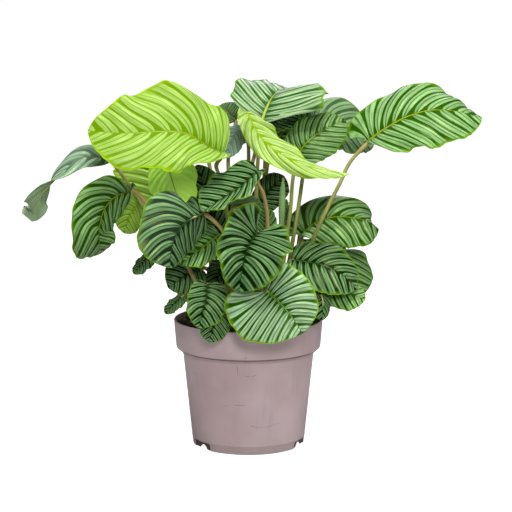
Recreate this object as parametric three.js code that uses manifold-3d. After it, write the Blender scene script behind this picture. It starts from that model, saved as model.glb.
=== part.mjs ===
// Potted calathea: a leafy plant with round striped leaves in a plain nursery pot.
// Millimetres, +Z up, the front faces -Y. The origin is on the floor under the middle of the pot.
import * as THREE from 'three';
import { mergeVertices } from 'three/addons/utils/BufferGeometryUtils.js';
import Module from 'manifold-3d';

const wasm = await Module();
wasm.setup();

// Pot
const potHeight = 204;
const rimRadius = 120;
const collarHeight = 45;
const collarRadius = 116.6; // at the lower edge of the collar
const stepDrop = 8; // the collar turns in to the body over this height
const bodyRadius = 105.8; // just under the step
const footRadius = 90;
const wall = 2.5;
const plateLift = 10.5; // the base plate stands this far above the floor
const ringWidth = 4.5; // the foot ring, at the floor
const edgeRound = 1.6;
const lipRound = 0.5; // small round of the rim's upper face
const stepRound = 2; // width and height of the small slopes where the step meets body and collar
const potSides = 42;
const notchAngles = [-147, -21, 96]; // cut-outs in the foot ring, in degrees from +X
const notchArc = 30;
const notchHeight = 12;
const drainRadius = 6;
const drainCircle = 62;
const drainCount = 6;

// Soil
const clearance = 0.3;
const soilTop = 196;
const soilMound = 7; // the middle of the soil stands this much higher than its edge
const soilSides = 24;
const holeDepth = 14;
const holeGap = 0.6; // between a stalk and its hole, at the side and below

// Leaves
const bladeThickness = 0.9;
const largeLength = 85; // blades longer than this have the large grid
const largeGrid = [8, 3]; // steps along the midrib, and from the midrib to each margin
const smallGrid = [6, 2];
const rowSpread = 1.25; // above 1, the steps are shorter towards the base
const stalkSides = 5;
const stalkRadius = 3.4;
const stalkTopRadius = 2.6;
const stalkStep = 62; // about the length of one section of a stalk
const stalkOverlap = 12; // how far a stalk runs on along the midrib
const outlineStart = 0.2; // angle on the outline's arc where the basal margin ends
const outlineEnd = 3.138;
const tipStart = 2.7; // the angle past which the outline runs out into its point
const tipReach = 0.04; // length of that point, as a share of the blade's
const veinBow = 0.75; // how strongly the side veins bow towards the tip
const outlineSpread = 0.65; // below 1, the side veins crowd less at the base of the margin
const veinSweep = 1.5; // above 1, the side veins start further down the midrib
const ruffle = 0.045; // how much the half width swells and shrinks along the margin
const ruffleCount = 3.5; // swells from base to tip
const ruffleShift = 9; // moves the swells along the margin, by the size of the basal lobe
const lobeRound = 0.35; // how far the end of a basal lobe is drawn back in
const widest = 0.48; // where along the midrib the blade is widest
const fullness = 0.72;
const archHeight = 0.06; // crown between midrib and margin, as a share of the half width
const waveCount = 3; // waves along each margin
const wavePhase = 1.3; // the right margin's waves run ahead of the left one's

const tones = {
  lime: { color: 0x9ccb1e, roughness: 0.42, metalness: 0 },
  bright: { color: 0x6fa552, roughness: 0.38, metalness: 0 },
  mid: { color: 0x4f8a2a, roughness: 0.4, metalness: 0 },
  dark: { color: 0x2f5c2c, roughness: 0.36, metalness: 0 },
};
const spearFinish = { color: 0x7f9a5a, roughness: 0.45, metalness: 0 };
const potFinish = { color: 0xa08d8a, roughness: 0.5, metalness: 0 };
const soilFinish = { color: 0x2b1c14, roughness: 0.95, metalness: 0 };

// Each leaf: where its stalk leaves the soil (root), points that the stalk passes (via), its midrib from base to tip
// (rib), and how far its right and left margins reach from the midrib where the blade is widest. The sides are those
// of the upper face, seen from the base. lobe sets how far the two basal lobes reach back, as a share of the length;
// wave is the height of the margin's waves; ruffle replaces the value above; lift folds a side towards the upper
// face, in degrees at the base and at the tip; turn twists the blade by so many degrees along its length.
const leaves = [
  { name: 'upper_left_lime', tone: 'lime', root: [-8, 2],
    via: [[-44, 0, 428], [-51, -6, 453]],
    rib: [[-40, -10, 469], [-67, -22, 486], [-98, -34, 505], [-138, -42, 509], [-192, -48, 507],
      [-251, -40, 510]],
    right: [-28, 50, 65], left: [-18, -45, -65], lobe: [-0.02, 0],
      wave: 6, ruffle: 0.07, liftRight: [36, 0], liftLeft: [65, 0] },
  { name: 'far_left_twisted', tone: 'bright', root: [-58, 12],
    rib: [[-231, 55, 458], [-266, 45, 459], [-300, 32, 437], [-324, 22, 413], [-340, 14, 391],
      [-350, 32, 374], [-350, 58, 367]],
    right: [-2, 22, -9], left: [-3, -20, 4], lobe: [0.1, 0.08], wave: 1, turn: 270 },
  { name: 'left_green', tone: 'mid', root: [-62, -58],
    via: [[-79, -57, 262], [-95, -50, 296], [-124, -36, 343], [-156, -22, 384], [-170, -16, 403]],
    rib: [[-186, -20, 414], [-209, -28, 406], [-226, -38, 388], [-233, -48, 366], [-235, -52, 347],
      [-235, -40, 328], [-234, -16, 313]],
    right: [-46, -36, -2], left: [17, 40, -16], lobe: [0.08, 0],
      wave: 3.5, ruffle: 0.03, liftLeft: [20, -20] },
  { name: 'left_lime_behind', tone: 'lime', root: [-40, 45],
    rib: [[-101, 85, 435], [-135, 75, 403], [-166, 60, 367]],
    right: [-112, 20, 26], left: [50, 40, -43], lobe: [0.08, 0.08], wave: 5 },
  { name: 'left_lime_underside', tone: 'lime', root: [-26, 28],
    rib: [[-133, 45, 462], [-123, 30, 425], [-107, 20, 374]],
    right: [45, -25, -5], left: [-40, 10, -3], lobe: [0, 0], wave: 1 },
  { name: 'small_lime', tone: 'lime', root: [-52, 30],
    rib: [[-178, 52, 384], [-192, 32, 366], [-201, 22, 339]],
    right: [-30, -20, 2], left: [22, 20, -14], lobe: [0.08, 0.08], wave: 3.5 },
  { name: 'left_dark_round', tone: 'dark', root: [-8, -62],
    via: [[-28, -92, 336], [-39, -98, 360], [-53, -98, 376]],
    rib: [[-67, -95, 386], [-88, -105, 380], [-106, -115, 364], [-117, -125, 339], [-120, -130, 307]],
    right: [-88, -20, -11], left: [30, 38, -23], lobe: [0.12, 0.05], wave: 3.5, liftLeft: [10, -10] },
  { name: 'centre_left_glossy', tone: 'mid', root: [-30, -38],
    rib: [[-44, -56, 349], [-68, -70, 332], [-105, -80, 305]],
    right: [-29, 45, 21], left: [9, -35, -24], lobe: [0.08, 0.08], wave: 3.5, ruffle: 0.02 },
  { name: 'centre_left_dark', tone: 'dark', root: [26, -36],
    via: [[30, -52, 379], [23, -62, 415], [14, -70, 435]],
    rib: [[17, -75, 452], [-12, -88, 427], [-40, -98, 410], [-71, -105, 391]],
    right: [-34, 40, 18], left: [9, -38, -8], lobe: [0.08, 0.08], wave: 3.5 },
  { name: 'centre_dark', tone: 'dark', root: [22, -58],
    rib: [[15, -100, 359], [5, -112, 346], [-3, -124, 330], [-8, -134, 308], [-14, -138, 271]],
    right: [-49, -35, 8], left: [67, -30, 8], lobe: [0.45, 0.3], wave: 5, ruffle: 0.03 },
  { name: 'rim_bright', tone: 'bright', root: [40, -72],
    rib: [[28, -132, 273], [46, -142, 258], [64, -150, 239], [84, -158, 211]],
    right: [-55, -16, -56], left: [43, 14, 35], lobe: [0.64, 0.65], wave: 0.6, ruffle: 0.01 },
  { name: 'right_dark', tone: 'dark', root: [58, -48],
    rib: [[68, -50, 308], [94, -60, 305], [120, -72, 301], [147, -78, 288], [169, -75, 265]],
    right: [-13, -36, -37], left: [9, 28, 31], lobe: [0.08, 0.08], wave: 3.5 },
  { name: 'right_behind', tone: 'mid', root: [76, 12],
    rib: [[113, 42, 309], [148, 22, 299], [186, 2, 243]],
    right: [-22, -30, -52], left: [49, 40, -11], lobe: [0.08, 0.08], wave: 3.5 },
  { name: 'right_low_lime', tone: 'mid', root: [78, -14],
    rib: [[117, -52, 278], [148, -67, 262], [184, -72, 247]],
    right: [-8, -30, -27], left: [15, 20, 12], lobe: [0.08, 0.08], wave: 2.5 },
  { name: 'right_olive', tone: 'mid', root: [62, 16],
    rib: [[85, 40, 332], [109, 28, 355], [140, 18, 366], [173, 11, 365], [197, 6, 358], [210, 12, 347]],
    right: [-10, -34, -47], left: [-20, 50, 32], lobe: [-0.05, 0.35], wave: 5, liftRight: [30, 0],
      liftLeft: [0, -35] },
  { name: 'upper_right', tone: 'mid', root: [62, -12],
    via: [[101, -24, 330], [130, -14, 393], [146, -8, 424], [162, -3, 457]],
    rib: [[190, 0, 490], [216, -10, 510], [247, -20, 529], [284, -28, 541], [325, -30, 540], [368, -20, 529]],
    right: [16, -48, -56], left: [29, 50, 65], lobe: [-0.1, 0.22],
      wave: 6, ruffle: 0.07, liftRight: [35, 0], liftLeft: [10, -58] },
  { name: 'upper_right_behind', tone: 'mid', root: [50, 6],
    via: [[75, 8, 350], [81, 16, 386], [86, 25, 419], [91, 40, 456]],
    rib: [[89, 60, 503], [146, 72, 505], [204, 80, 473]],
    right: [1, -40, -34], left: [-1, 50, 45], lobe: [0.08, 0.08], wave: 5 },
  { name: 'upper_centre_folded', tone: 'mid', root: [44, -12],
    via: [[63, -6, 348], [68, -2, 388], [71, 2, 428]],
    rib: [[76, 10, 459], [87, 8, 480], [103, 16, 495], [126, 32, 508], [156, 50, 520]],
    right: [26, -22, -30], left: [-25, 20, 22], lobe: [0, 0], wave: 3.5 },
  { name: 'top_centre', tone: 'mid', root: [4, 26],
    rib: [[20, 10, 518], [28, 25, 538], [38, 45, 556], [51, 75, 566], [67, 110, 566]],
    right: [92, -10, 5], left: [-65, 10, 15], lobe: [-0.3, -0.1], wave: 4 },
  { name: 'centre_lime_curled', tone: 'lime', root: [6, -14],
    via: [[1, -34, 432], [6, -38, 456], [12, -38, 486], [6, -32, 511]],
    rib: [[-2, -40, 540], [12, -50, 512], [31, -58, 490], [59, -66, 472], [102, -71, 455], [158, -74, 446]],
    right: [-4, -12, -24], left: [26, 22, 12], lobe: [0.1, -0.1],
      wave: 6, ruffle: 0.045, liftRight: [-30, 10], liftLeft: [0, -55] },
  { name: 'behind_top_left', tone: 'dark', root: [-14, 48],
    via: [[-32, 62, 424], [-33, 70, 456], [-30, 78, 485]],
    rib: [[-21, 95, 516], [-34, 105, 527], [-44, 115, 541]],
    right: [9, 20, 24], left: [-10, -10, -13], lobe: [0.08, 0.08], wave: 1 },
  { name: 'drooping_grey', tone: 'dark', root: [-10, 34],
    rib: [[-4, 60, 503], [-22, 50, 494], [-36, 40, 459]],
    right: [-19, 20, 7], left: [12, -10, -18], lobe: [0.08, 0.08], wave: 1 },
  { name: 'dark_between', tone: 'dark', root: [20, 58],
    rib: [[35, 80, 508], [58, 90, 520], [88, 100, 529]],
    right: [7, -20, -17], left: [-3, 30, 13], lobe: [0.08, 0.08], wave: 1 },
  { name: 'small_lower_left', tone: 'dark', root: [-38, -80],
    via: [[-53, -82, 245], [-60, -84, 268]],
    rib: [[-64, -92, 276], [-65, -108, 255], [-70, -121, 237], [-76, -130, 213]],
    right: [-32, -20, -1], left: [34, -8, -10], lobe: [0.08, 0.08], wave: 3.5 },
  { name: 'rim_left_small', tone: 'dark', root: [-20, -88],
    rib: [[-43, -116, 236], [-53, -126, 217], [-60, -130, 191]],
    right: [-22, 5, -2], left: [23, 0, -9], lobe: [0.08, 0.08], wave: 1 },
  { name: 'low_left_dark', tone: 'dark', root: [-62, -36],
    rib: [[-77, -28, 290], [-100, -38, 279], [-127, -48, 262]],
    right: [-28, 0, 22], left: [7, -10, -28], lobe: [0.08, 0.08], wave: 2 },
  { name: 'low_left_droop', tone: 'dark', root: [-78, -46],
    rib: [[-101, -70, 254], [-115, -80, 243], [-130, -85, 227]],
    right: [-11, 12, 0], left: [8, -8, -7], lobe: [0.08, 0.08], wave: 1 },
  { name: 'left_tip', tone: 'dark', root: [-76, 6],
    via: [[-122, -10, 317]],
    rib: [[-156, -35, 312], [-168, -45, 300], [-181, -50, 284]],
    right: [-7, 10, 6], left: [12, -18, -6], lobe: [0.08, 0.08], wave: 1 },
  { name: 'right_low_dark', tone: 'dark', root: [84, -52],
    rib: [[109, -96, 267], [116, -106, 253], [115, -111, 222]],
    right: [-20, 10, -11], left: [13, 10, -3], lobe: [0.08, 0.08], wave: 1 },
  { name: 'centre_back_dark', tone: 'dark', root: [30, 30],
    rib: [[16, 44, 382], [35, 45, 407], [58, 50, 429]],
    right: [20, -10, -22], left: [-12, 20, 18], lobe: [0.08, 0.08], wave: 1 },
  { name: 'left_back_dark', tone: 'dark', root: [-22, 14],
    rib: [[-40, 34, 330], [-56, 38, 363], [-70, 38, 407], [-83, 42, 448]],
    right: [31, 8, 8], left: [-38, 12, -2], lobe: [0.08, 0.08], wave: 1 },
  { name: 'centre_underside', tone: 'dark', root: [-8, -30],
    rib: [[-24, -68, 394], [0, -76, 401], [20, -84, 402]],
    right: [1, -22, 15], left: [-1, 22, -15], lobe: [0.08, 0.08], wave: 1 },
  { name: 'centre_strip', tone: 'mid', root: [26, -8],
    rib: [[25, -10, 339], [28, -15, 366], [23, -20, 389]],
    right: [17, -10, 6], left: [-19, 10, 3], lobe: [0.08, 0.08], wave: 1 },
  { name: 'right_strip', tone: 'mid', root: [38, 10],
    rib: [[61, 18, 342], [61, 18, 368], [62, 20, 395]],
    right: [6, -15, 6], left: [-5, 15, 2], lobe: [0.08, 0.08], wave: 1 },
  { name: 'inner_right_dark', tone: 'dark', root: [60, 34],
    rib: [[87, 101, 326], [85, 101, 343], [82, 104, 364]],
    right: [9, 15, 2], left: [-10, -10, 7], lobe: [0.08, 0.08], wave: 1 },
  { name: 'inner_low_brown', tone: 'dark', root: [-12, -16],
    via: [[-39, -6, 277]],
    rib: [[-42, -15, 298], [-47, -25, 280], [-58, -33, 256]],
    right: [-18, 0, 9], left: [19, 0, -11], lobe: [0.08, 0.08], wave: 1 },
  { name: 'inner_low_left', tone: 'dark', root: [-44, -22],
    via: [[-62, 6, 259], [-65, 10, 281]],
    rib: [[-77, 14, 283], [-93, 13, 256], [-108, 12, 230]],
    right: [-23, 3, -2], left: [19, -3, -12], lobe: [0, 0], wave: 1 },
  { name: 'back_left', tone: 'mid', root: [-34, 66],
    rib: [[-72, 108, 465], [-122, 128, 488], [-190, 143, 487]],
    right: [-12, 44, 42], left: [-7, -22, -32], lobe: [0.08, 0.08], wave: 5 },
  { name: 'back_centre', tone: 'mid', root: [18, 78],
    rib: [[35, 95, 467], [60, 125, 497], [86, 155, 525]],
    right: [59, 0, -7], left: [-37, 40, 28], lobe: [0.08, 0.08], wave: 5 },
  { name: 'back_low_left', tone: 'dark', root: [-60, 56],
    rib: [[-72, 106, 341], [-115, 131, 325], [-163, 146, 292]],
    right: [-23, 37, 28], left: [-1, -20, -42], lobe: [0.08, 0.08], wave: 5 },
  { name: 'back_low_right', tone: 'dark', root: [66, 54],
    rib: [[86, 112, 284], [128, 128, 285], [171, 140, 273]],
    right: [6, -15, -42], left: [-2, 30, 29], lobe: [0.08, 0.08], wave: 5 },
  { name: 'back_low_centre', tone: 'dark', root: [0, 88],
    rib: [[-1, 110, 268], [11, 140, 242], [22, 150, 197]],
    right: [-42, 20, -22], left: [46, 20, -8], lobe: [0.08, 0.08], wave: 5 },
];

// The newest leaf, still rolled up: the points that it passes, and its radii up to the tip.
const spear = {
  root: [34, -4],
  via: [[46, -2, 300]],
  neck: [52, 6, 345],
  tip: [56, 12, 430],
  radii: [stalkRadius, stalkRadius, stalkRadius, 4.4, 5.6, 5.2, 4, 0.8],
  sides: 8,
};

const radians = THREE.MathUtils.degToRad;

function merged(geometry) {
  geometry.deleteAttribute('normal');
  geometry.deleteAttribute('uv');
  return mergeVertices(geometry, 1e-4);
}

function solid(geometry) {
  const shape = merged(geometry);
  return new wasm.Manifold(new wasm.Mesh({
    numProp: 3,
    vertProperties: new Float32Array(shape.attributes.position.array),
    triVerts: new Uint32Array(shape.index.array),
  }));
}

function geometryOf(body) {
  const { vertProperties, triVerts } = body.getMesh();
  const geometry = new THREE.BufferGeometry();
  geometry.setAttribute('position', new THREE.BufferAttribute(vertProperties, 3));
  geometry.setIndex(new THREE.BufferAttribute(triVerts, 1));
  geometry.computeVertexNormals();
  return geometry;
}

function lathe(profile, sides) {
  const points = profile.map(([r, z]) => new THREE.Vector2(r, z));
  return new THREE.LatheGeometry(points, sides).rotateX(Math.PI / 2);
}

function pot() {
  const inner = (radius) => radius - wall;
  const stepZ = potHeight - collarHeight;
  const profile = [
    [footRadius - ringWidth, 0],
    [footRadius - edgeRound, 0],
    [footRadius, edgeRound],
    [bodyRadius, stepZ - stepDrop],
    [bodyRadius + stepRound, stepZ - stepDrop + stepRound / 2],
    [collarRadius - stepRound, stepZ - stepRound / 2],
    [collarRadius, stepZ + stepRound / 2],
    [rimRadius, potHeight - edgeRound],
    [rimRadius - lipRound, potHeight],
    [inner(rimRadius) + lipRound, potHeight],
    [inner(rimRadius), potHeight - edgeRound],
    [inner(collarRadius), stepZ + wall],
    [inner(bodyRadius), stepZ - stepDrop],
    [inner(footRadius), plateLift + wall],
    [0, plateLift + wall],
    [0, plateLift],
    [footRadius - ringWidth - 1, plateLift],
    [footRadius - ringWidth, 0],
  ];
  let body = solid(lathe(profile, potSides));
  const cutterLength = 40;
  const cutterWidth = 2 * footRadius * Math.sin(radians(notchArc / 2));
  for (const angle of notchAngles) {
    const cutter = new THREE.BoxGeometry(cutterLength, cutterWidth, 2 * notchHeight);
    cutter.translate(footRadius + cutterLength / 2 - ringWidth - 0.6, 0, 0).rotateZ(radians(angle));
    body = body.subtract(solid(cutter));
  }
  for (let n = 0; n < drainCount; n++) {
    const drain = new THREE.CylinderGeometry(drainRadius, drainRadius, 4 * wall, 8).rotateX(Math.PI / 2);
    drain.translate(drainCircle, 0, plateLift + wall / 2).rotateZ((n + 0.5) * 2 * Math.PI / drainCount);
    body = body.subtract(solid(drain));
  }
  return geometryOf(body);
}

function soilHeight(radius) {
  return soilTop + soilMound * (1 - (radius / rimRadius) ** 2);
}

function soil() {
  const gap = wall + clearance;
  const stepZ = potHeight - collarHeight;
  const edge = THREE.MathUtils.lerp(collarRadius, rimRadius, (soilTop - stepZ) / collarHeight) - gap - 0.3;
  const bottom = plateLift + wall + clearance;
  const profile = [
    [0, bottom],
    [footRadius - gap - 0.3, bottom],
    [bodyRadius - gap - 0.4, stepZ - stepDrop],
    [collarRadius - gap - 0.6, stepZ + wall + 1],
    [edge, soilTop - 2],
    [edge - 3, soilTop + 1],
    [60, soilHeight(60)],
    [0, soilHeight(0)],
  ];
  let body = solid(lathe(profile, soilSides));
  const stalks = [[spear.root, spear.sides], ...leaves.map((leaf) => [leaf.root, stalkSides])];
  for (const [[x, y], sides] of stalks) {
    const radius = stalkRadius + holeGap;
    const hole = new THREE.CylinderGeometry(radius, radius, 2 * holeDepth, sides).rotateX(Math.PI / 2);
    hole.translate(x, y, soilHeight(Math.hypot(x, y)));
    body = body.subtract(solid(hole));
  }
  return geometryOf(body);
}

const vector = (p) => new THREE.Vector3(...p);

function curveThrough(points) {
  return new THREE.CatmullRomCurve3(points.map(vector), false, 'catmullrom', 0.5);
}

// A point of the flat blade: u picks a side vein from the base to the tip, k goes out along it from midrib to margin.
function flatPoint(u, k, lobe, swelling) {
  const arc = outlineStart + (outlineEnd - outlineStart) * u ** outlineSpread;
  const swell = swelling * Math.sin(2 * Math.PI * ruffleCount * u + ruffleShift * lobe) * Math.sin(arc);
  const across = Math.sin(arc) ** fullness * (1 + swell);
  const point = tipReach * Math.max(0, (arc - tipStart) / (outlineEnd - tipStart)) ** 2;
  const back = lobe * ((1 - u) ** 3 - lobeRound * (1 - u) ** 24);
  const along = widest * (1 - Math.cos(arc)) + point - back;
  const start = u ** veinSweep;
  const bow = veinBow * u ** 0.3;
  const reach = bow * k + (1 - bow) * k * k;
  return [across * k, start + (along - start) * reach];
}

function tangentAt(rib, t) {
  const step = 0.01;
  const ahead = rib.getPoint(Math.min(t + step, 1));
  return ahead.sub(rib.getPoint(Math.max(t - step, 0))).normalize();
}

// A point of the blade in space: v runs from the left margin (-1) over the midrib (0) to the right margin (1).
function bladePoint(leaf, u, v) {
  const rightSide = v >= 0;
  const [across, along] = flatPoint(u, Math.abs(v), leaf.lobe[rightSide ? 0 : 1], leaf.ruffle ?? ruffle);
  const t = THREE.MathUtils.clamp(along, 0, 1);
  const tangent = tangentAt(leaf.curve, t);
  const point = leaf.curve.getPoint(t);
  if (along < 0) point.addScaledVector(tangent, leaf.length * along);
  const reach = vector(rightSide ? leaf.right : leaf.left);
  const middle = tangentAt(leaf.curve, widest);
  const halfWidth = reach.clone().addScaledVector(middle, -reach.dot(middle)).length();
  const side = reach.addScaledVector(tangent, -reach.dot(tangent)).normalize();
  const lift = (rightSide ? leaf.liftRight : leaf.liftLeft) ?? [0, 0];
  const fold = lift[0] * (1 - t) ** 2 + lift[1] * t * t;
  const twist = (leaf.turn ?? 0) * (t - widest);
  side.applyAxisAngle(tangent, radians(twist + (rightSide ? -fold : fold)));
  const up = side.clone().cross(tangent).multiplyScalar(rightSide ? 1 : -1);
  const phase = rightSide ? wavePhase : 0;
  const wave = leaf.wave * across * across * Math.sin(2 * Math.PI * waveCount * u + phase);
  const arch = 4 * archHeight * halfWidth * across * (1 - across);
  return point.addScaledVector(side, halfWidth * across).addScaledVector(up, arch + wave);
}

// The blade as a closed sheet: both faces share one grid, so they are split into triangles alike.
function blade(leaf) {
  const large = leaf.length > largeLength;
  const [rows, half] = large ? largeGrid : smallGrid;
  const columns = 2 * half;
  const grid = [];
  for (let i = 0; i <= rows; i++) {
    for (let j = 0; j <= columns; j++) grid.push(bladePoint(leaf, (i / rows) ** rowSpread, (j - half) / half));
  }
  const at = (i, j) => i * (columns + 1) + j;
  const faces = [];
  for (let i = 0; i < rows; i++) {
    for (let j = 0; j < columns; j++) {
      const [a, b, c, d] = [at(i, j), at(i, j + 1), at(i + 1, j + 1), at(i + 1, j)];
      if (j < half) faces.push([a, b, d], [b, c, d]);
      else faces.push([a, b, c], [a, c, d]);
    }
  }
  const sheet = new THREE.BufferGeometry().setFromPoints(grid);
  sheet.setIndex(faces.flat());
  sheet.computeVertexNormals();
  const normals = sheet.attributes.normal;
  const count = grid.length;
  const normal = new THREE.Vector3();
  const shift = (n, amount) => grid[n].clone().addScaledVector(normal.fromBufferAttribute(normals, n), amount);
  const points = [
    ...grid.map((_, n) => shift(n, bladeThickness / 2)),
    ...grid.map((_, n) => shift(n, -bladeThickness / 2)),
  ];
  const triangles = [...faces, ...faces.map(([a, b, c]) => [a + count, c + count, b + count])];
  const rim = [];
  for (let j = 0; j < columns; j++) rim.push(at(0, j));
  for (let i = 0; i < rows; i++) rim.push(at(i, columns));
  for (let j = columns; j > 0; j--) rim.push(at(rows, j));
  for (let i = rows; i > 0; i--) rim.push(at(i, 0));
  rim.forEach((a, n) => {
    const b = rim[(n + 1) % rim.length];
    triangles.push([a, a + count, b + count], [a, b + count, b]);
  });
  const geometry = new THREE.BufferGeometry().setFromPoints(points);
  geometry.setIndex(triangles.flat());
  return geometry;
}

// The stalk: upright in its hole, then over its via points to the blade, where it runs on a little along the midrib.
function stalkRoute(leaf) {
  const [x, y] = leaf.root;
  const ground = soilHeight(Math.hypot(x, y));
  const end = leaf.curve.getPoint(stalkOverlap / leaf.length).toArray();
  const stops = [[x, y, ground + 3], ...(leaf.via ?? []), leaf.rib[0], end].map(vector);
  const curve = new THREE.CatmullRomCurve3(stops, false, 'centripetal');
  const stretches = stops.length - 1;
  const route = [new THREE.Vector3(x, y, ground - holeDepth + holeGap)];
  for (let n = 0; n < stretches; n++) {
    const steps = Math.max(1, Math.round(stops[n].distanceTo(stops[n + 1]) / stalkStep));
    for (let i = 0; i < steps; i++) route.push(curve.getPoint((n + i / steps) / stretches));
  }
  route.push(curve.getPoint(1));
  return route;
}

// A closed tube round the points of a route, with a radius for each. It starts upright.
function tube(route, radii, sides) {
  const last = route.length - 1;
  const points = [];
  const faces = [];
  let side = new THREE.Vector3(1, 0, 0);
  route.forEach((middle, i) => {
    const tangent = i < 2 ? new THREE.Vector3(0, 0, 1) : route[Math.min(i + 1, last)].clone().sub(route[i - 1]);
    tangent.normalize();
    side = side.addScaledVector(tangent, -side.dot(tangent)).normalize();
    const other = new THREE.Vector3().crossVectors(tangent, side);
    for (let s = 0; s < sides; s++) {
      const angle = s / sides * 2 * Math.PI;
      const offset = side.clone().multiplyScalar(Math.cos(angle)).addScaledVector(other, Math.sin(angle));
      points.push(middle.clone().addScaledVector(offset, radii[i]));
    }
  });
  const at = (i, s) => i * sides + s % sides;
  for (let i = 0; i < last; i++) {
    for (let s = 0; s < sides; s++) {
      faces.push([at(i, s), at(i, s + 1), at(i + 1, s + 1)], [at(i, s), at(i + 1, s + 1), at(i + 1, s)]);
    }
  }
  for (let s = 1; s < sides - 1; s++) {
    faces.push([at(0, 0), at(0, s + 1), at(0, s)], [at(last, 0), at(last, s), at(last, s + 1)]);
  }
  const geometry = new THREE.BufferGeometry().setFromPoints(points);
  geometry.setIndex(faces.flat());
  return geometry;
}

function stalk(leaf) {
  const route = stalkRoute(leaf);
  const radii = route.map((_, i) => THREE.MathUtils.lerp(stalkRadius, stalkTopRadius, i / (route.length - 1)));
  return tube(route, radii, stalkSides);
}

function rolledLeaf() {
  const [x, y] = spear.root;
  const ground = soilHeight(Math.hypot(x, y));
  const stops = [[x, y, ground + 3], ...spear.via, spear.neck, spear.tip].map(vector);
  const curve = new THREE.CatmullRomCurve3(stops, false, 'centripetal');
  const route = [new THREE.Vector3(x, y, ground - holeDepth + holeGap)];
  const steps = spear.radii.length - 2;
  for (let i = 0; i <= steps; i++) route.push(curve.getPoint(i / steps));
  return tube(route, spear.radii, spear.sides);
}

const model = new THREE.Group();

function addPiece(name, geometry, finish) {
  const mesh = new THREE.Mesh(geometry, new THREE.MeshStandardMaterial(finish));
  mesh.name = name;
  model.add(mesh);
}

for (const leaf of leaves) {
  leaf.curve = curveThrough(leaf.rib);
  leaf.length = leaf.curve.getLength();
}
addPiece('pot', pot(), potFinish);
addPiece('soil', soil(), soilFinish);
for (const leaf of leaves) {
  addPiece(`leaf_${leaf.name}`, geometryOf(solid(blade(leaf)).add(solid(stalk(leaf)))), tones[leaf.tone]);
}

addPiece('new_leaf_spear', rolledLeaf(), spearFinish);

export default model;
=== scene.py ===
# Potted calathea: finer leaves, stalks, pot and soil, dressed on the solid model.
# Lengths in the dictionaries are millimetres; mm turns them into Blender's metres.
import math
import random

import bpy
import numpy as np
from mathutils import Euler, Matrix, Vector, noise


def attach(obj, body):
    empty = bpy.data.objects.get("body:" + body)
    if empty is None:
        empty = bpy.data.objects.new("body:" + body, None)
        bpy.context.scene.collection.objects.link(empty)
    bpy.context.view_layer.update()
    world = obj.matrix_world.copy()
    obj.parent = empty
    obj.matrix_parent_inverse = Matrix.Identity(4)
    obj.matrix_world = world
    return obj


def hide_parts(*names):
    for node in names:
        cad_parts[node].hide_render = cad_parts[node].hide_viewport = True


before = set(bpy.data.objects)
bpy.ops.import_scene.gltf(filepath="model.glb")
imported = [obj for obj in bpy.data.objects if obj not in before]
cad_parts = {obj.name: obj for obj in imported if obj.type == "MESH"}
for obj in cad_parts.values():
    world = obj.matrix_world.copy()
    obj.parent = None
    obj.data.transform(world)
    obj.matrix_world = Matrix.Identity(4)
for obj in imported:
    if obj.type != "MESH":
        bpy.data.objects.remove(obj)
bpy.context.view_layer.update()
mm = 0.001
random.seed(7)
print("solids loaded:", len(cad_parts))


# ---- camera, light and floor
view = {"lens": 126.5625, "place": (0.0123, -2.8556, 0.7576), "tilt": 81}

bpy.ops.object.camera_add(location=view["place"], rotation=(math.radians(view["tilt"]), 0, 0))
camera = bpy.context.object
camera.data.lens = view["lens"]
camera.data.sensor_width = 36
bpy.context.scene.camera = camera

studio = {
    "world": 0.12,
    "backdrop": 1.04,  # what the camera sees of the world
    "floorGlow": 0.96,
    "floorSize": 120.0,  # metres, so that the view never reaches its edge
    "lamps": [
        {"name": "top", "place": (0.1, -0.5, 2.4), "aim": (0, 0, 0.3), "size": (1.0, 0.8), "power": 50},
        {"name": "front", "place": (0.5, -3.2, 1.9), "aim": (0, 0, 0.25), "size": (0.9, 0.9), "power": 54},
        {"name": "left", "place": (-2.4, -0.8, 1.5), "aim": (0, 0, 0.35), "size": (0.4, 1.4), "power": 7},
        {"name": "right", "place": (2.4, -0.6, 1.4), "aim": (0, 0, 0.35), "size": (0.4, 1.4), "power": 10},
        {"name": "back", "place": (0.2, 2.4, 1.9), "aim": (0, 0, 0.35), "size": (1.4, 1.0), "power": 12},
    ],
}


def addLamp(lamp):
    direction = Vector(lamp["aim"]) - Vector(lamp["place"])
    turn = direction.to_track_quat("-Z", "Y").to_euler()
    bpy.ops.object.light_add(type="AREA", location=lamp["place"], rotation=turn)
    light = bpy.context.object
    light.name = lamp["name"]
    light.data.shape = "RECTANGLE"
    light.data.size, light.data.size_y = lamp["size"]
    light.data.energy = lamp["power"]


def seenOnly(tree, low, high):
    # a strength that is higher where the camera looks straight at the surface
    ray = tree.nodes.new("ShaderNodeLightPath")
    node = tree.nodes.new("ShaderNodeMapRange")
    tree.links.new(ray.outputs["Is Camera Ray"], node.inputs["Value"])
    node.inputs["To Min"].default_value = low
    node.inputs["To Max"].default_value = high
    return node.outputs["Result"]


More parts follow.
